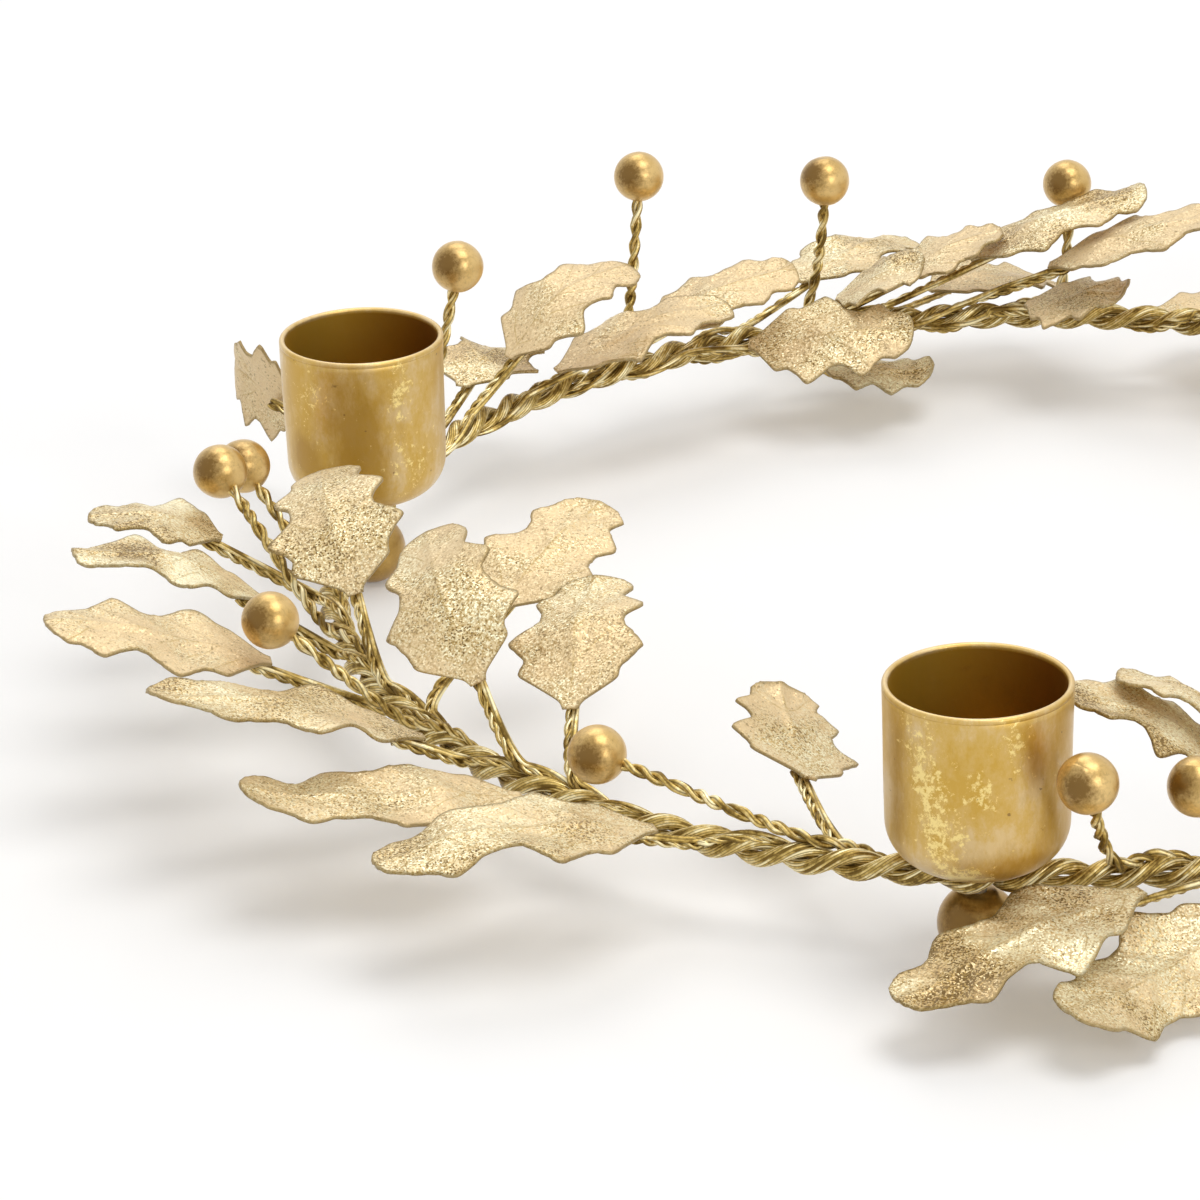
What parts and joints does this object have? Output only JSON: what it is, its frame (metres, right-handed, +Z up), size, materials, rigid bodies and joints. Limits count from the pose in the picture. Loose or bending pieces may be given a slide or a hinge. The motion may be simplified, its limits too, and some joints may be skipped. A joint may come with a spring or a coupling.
{
  "type": "candle ring",
  "caption": "Table wreath of gilt leaves and berries on twisted wire, with straight candle cups that stand on ball feet round an open centre.",
  "frame": {"origin": "on the table, under the middle of the twisted ring", "axes": "+Z up out of the cups; +X to the right and -Y towards the viewer of the picture"},
  "size_m": [0.2891, 0.2682, 0.0462],
  "materials": {
    "ring_wire": "antique gold, fine glitter",
    "stem_wire": "antique gold, fine glitter",
    "leaf_glitter": "champagne gold glitter",
    "berry_gilt": "satin gold",
    "cup_gilt": "worn gold leaf",
    "foot_gilt": "worn gold leaf",
    "screw_steel": "dull zinc"
  },
  "bodies": {
    "root": {"ball_foot_1": "foot_gilt", "ball_foot_2": "foot_gilt", "ball_foot_3": "foot_gilt", "candle_cup_1": "cup_gilt", "candle_cup_2": "cup_gilt", "candle_cup_3": "cup_gilt", "cup_screw_1": "screw_steel", "cup_screw_2": "screw_steel", "cup_screw_3": "screw_steel", "ring_strand_1": "ring_wire", "ring_strand_2": "ring_wire", "spray_01_berries": "berry_gilt", "spray_01_leaves": "leaf_glitter", "spray_01_stems": "stem_wire", "spray_02_berries": "berry_gilt", "spray_02_leaves": "leaf_glitter", "spray_02_stems": "stem_wire", "spray_03_leaves": "leaf_glitter", "spray_03_stems": "stem_wire", "spray_04_berries": "berry_gilt", "spray_04_leaves": "leaf_glitter", "spray_04_stems": "stem_wire", "spray_05_berries": "berry_gilt", "spray_05_leaves": "leaf_glitter", "spray_05_stems": "stem_wire", "spray_06_berries": "berry_gilt", "spray_06_leaves": "leaf_glitter", "spray_06_stems": "stem_wire", "spray_07_berries": "berry_gilt", "spray_07_leaves": "leaf_glitter", "spray_07_stems": "stem_wire", "spray_08_berries": "berry_gilt", "spray_08_leaves": "leaf_glitter", "spray_08_stems": "stem_wire", "spray_09_leaves": "leaf_glitter", "spray_09_stems": "stem_wire", "spray_10_berries": "berry_gilt", "spray_10_leaves": "leaf_glitter", "spray_10_stems": "stem_wire", "spray_11_berries": "berry_gilt", "spray_11_leaves": "leaf_glitter", "spray_11_stems": "stem_wire", "spray_12_berries": "berry_gilt", "spray_12_leaves": "leaf_glitter", "spray_12_stems": "stem_wire", "spray_13_berries": "berry_gilt", "spray_13_leaves": "leaf_glitter", "spray_13_stems": "stem_wire", "spray_14_berries": "berry_gilt", "spray_14_leaves": "leaf_glitter", "spray_14_stems": "stem_wire", "spray_15_berries": "berry_gilt", "spray_15_leaves": "leaf_glitter", "spray_15_stems": "stem_wire", "spray_16_berries": "berry_gilt", "spray_16_leaves": "leaf_glitter", "spray_16_stems": "stem_wire", "spray_17_berries": "berry_gilt", "spray_17_leaves": "leaf_glitter", "spray_17_stems": "stem_wire"}
  },
  "joints": []
}
